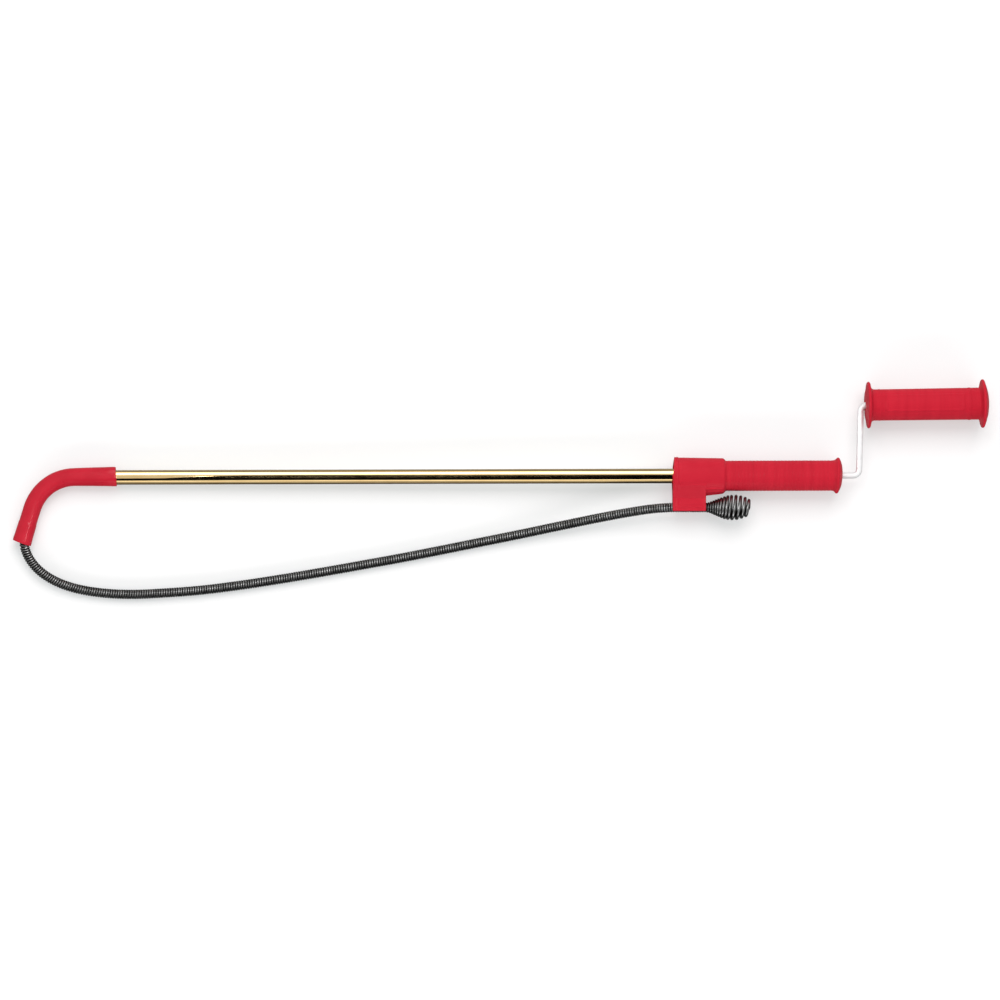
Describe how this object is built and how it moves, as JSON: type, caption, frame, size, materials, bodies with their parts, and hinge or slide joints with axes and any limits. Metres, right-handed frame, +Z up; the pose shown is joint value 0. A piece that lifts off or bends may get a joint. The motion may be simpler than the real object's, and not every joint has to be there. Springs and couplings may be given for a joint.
{
  "type": "closet auger",
  "caption": "Hand-cranked closet auger: bent guide tube, vinyl guard, grips, offset crank and a coiled drain cable with a bulb end, clipped back for storage.",
  "frame": {"origin": "centre of the object's outline on the floor that it lies on", "axes": "+X along the guide tube towards the crank, +Y towards the crank arm and away from the stored cable's bow, +Z up from the floor; the tool lies on its side"},
  "size_m": [1.2685, 0.2831, 0.0638],
  "materials": {
    "gold_plating": "polished gold-coloured plating",
    "red_vinyl": "soft red vinyl, satin to gloss",
    "red_grip": "moulded red vinyl, satin",
    "red_collar": "moulded red vinyl, satin",
    "spring_steel": "dark oiled spring wire",
    "bright_steel": "bright plated steel",
    "black_steel": "black oxide",
    "nylon": "natural nylon"
  },
  "bodies": {
    "guide": {"guide_tube": "gold_plating", "bowl_guard": "red_vinyl", "hand_grip": "red_grip", "clip_collar": "red_collar", "drain_cable": "spring_steel", "cable_inner_core": "spring_steel"},
    "bush": {"rod_bush": "nylon"},
    "crank": {"crank_rod": "bright_steel", "cable_coupling": "bright_steel", "grub_screw_1": "black_steel", "grub_screw_2": "black_steel", "thrust_washer": "bright_steel", "inner_grip_washer": "bright_steel", "outer_grip_washer": "bright_steel", "push_nut": "bright_steel"},
    "crank_handle": {"crank_grip": "red_grip", "crank_grip_liner": "nylon"},
    "cable_bulb": {"bulb_neck": "spring_steel", "bulb_coil": "spring_steel", "bulb_core_tip": "spring_steel"}
  },
  "joints": [
    {"name": "crank_spin", "type": "hinge", "parent": "guide", "child": "bush", "pos_m": [0.00185, 0.0173, 0.02152], "axis": [0.9999, 0, 0.0143], "continuous": true},
    {"name": "crank_feed", "type": "slide", "parent": "bush", "child": "crank", "axis": [0.9999, 0, 0.0143], "range_m": [0, 0.911]},
    {"name": "crank_grip_spin", "type": "hinge", "parent": "crank", "child": "crank_handle", "pos_m": [0.46898, 0.10848, 0.03006], "axis": [0.9998, 0.0105, 0.0145], "continuous": true},
    {"name": "bulb_spin", "type": "hinge", "parent": "guide", "child": "cable_bulb", "pos_m": [0.24583, -0.0237, 0.025], "axis": [0.9999, 0, 0.0143], "continuous": true}
  ],
  "couplings": [
    {"joint": "bulb_spin", "follows": "crank_spin", "ratio": -1}
  ]
}
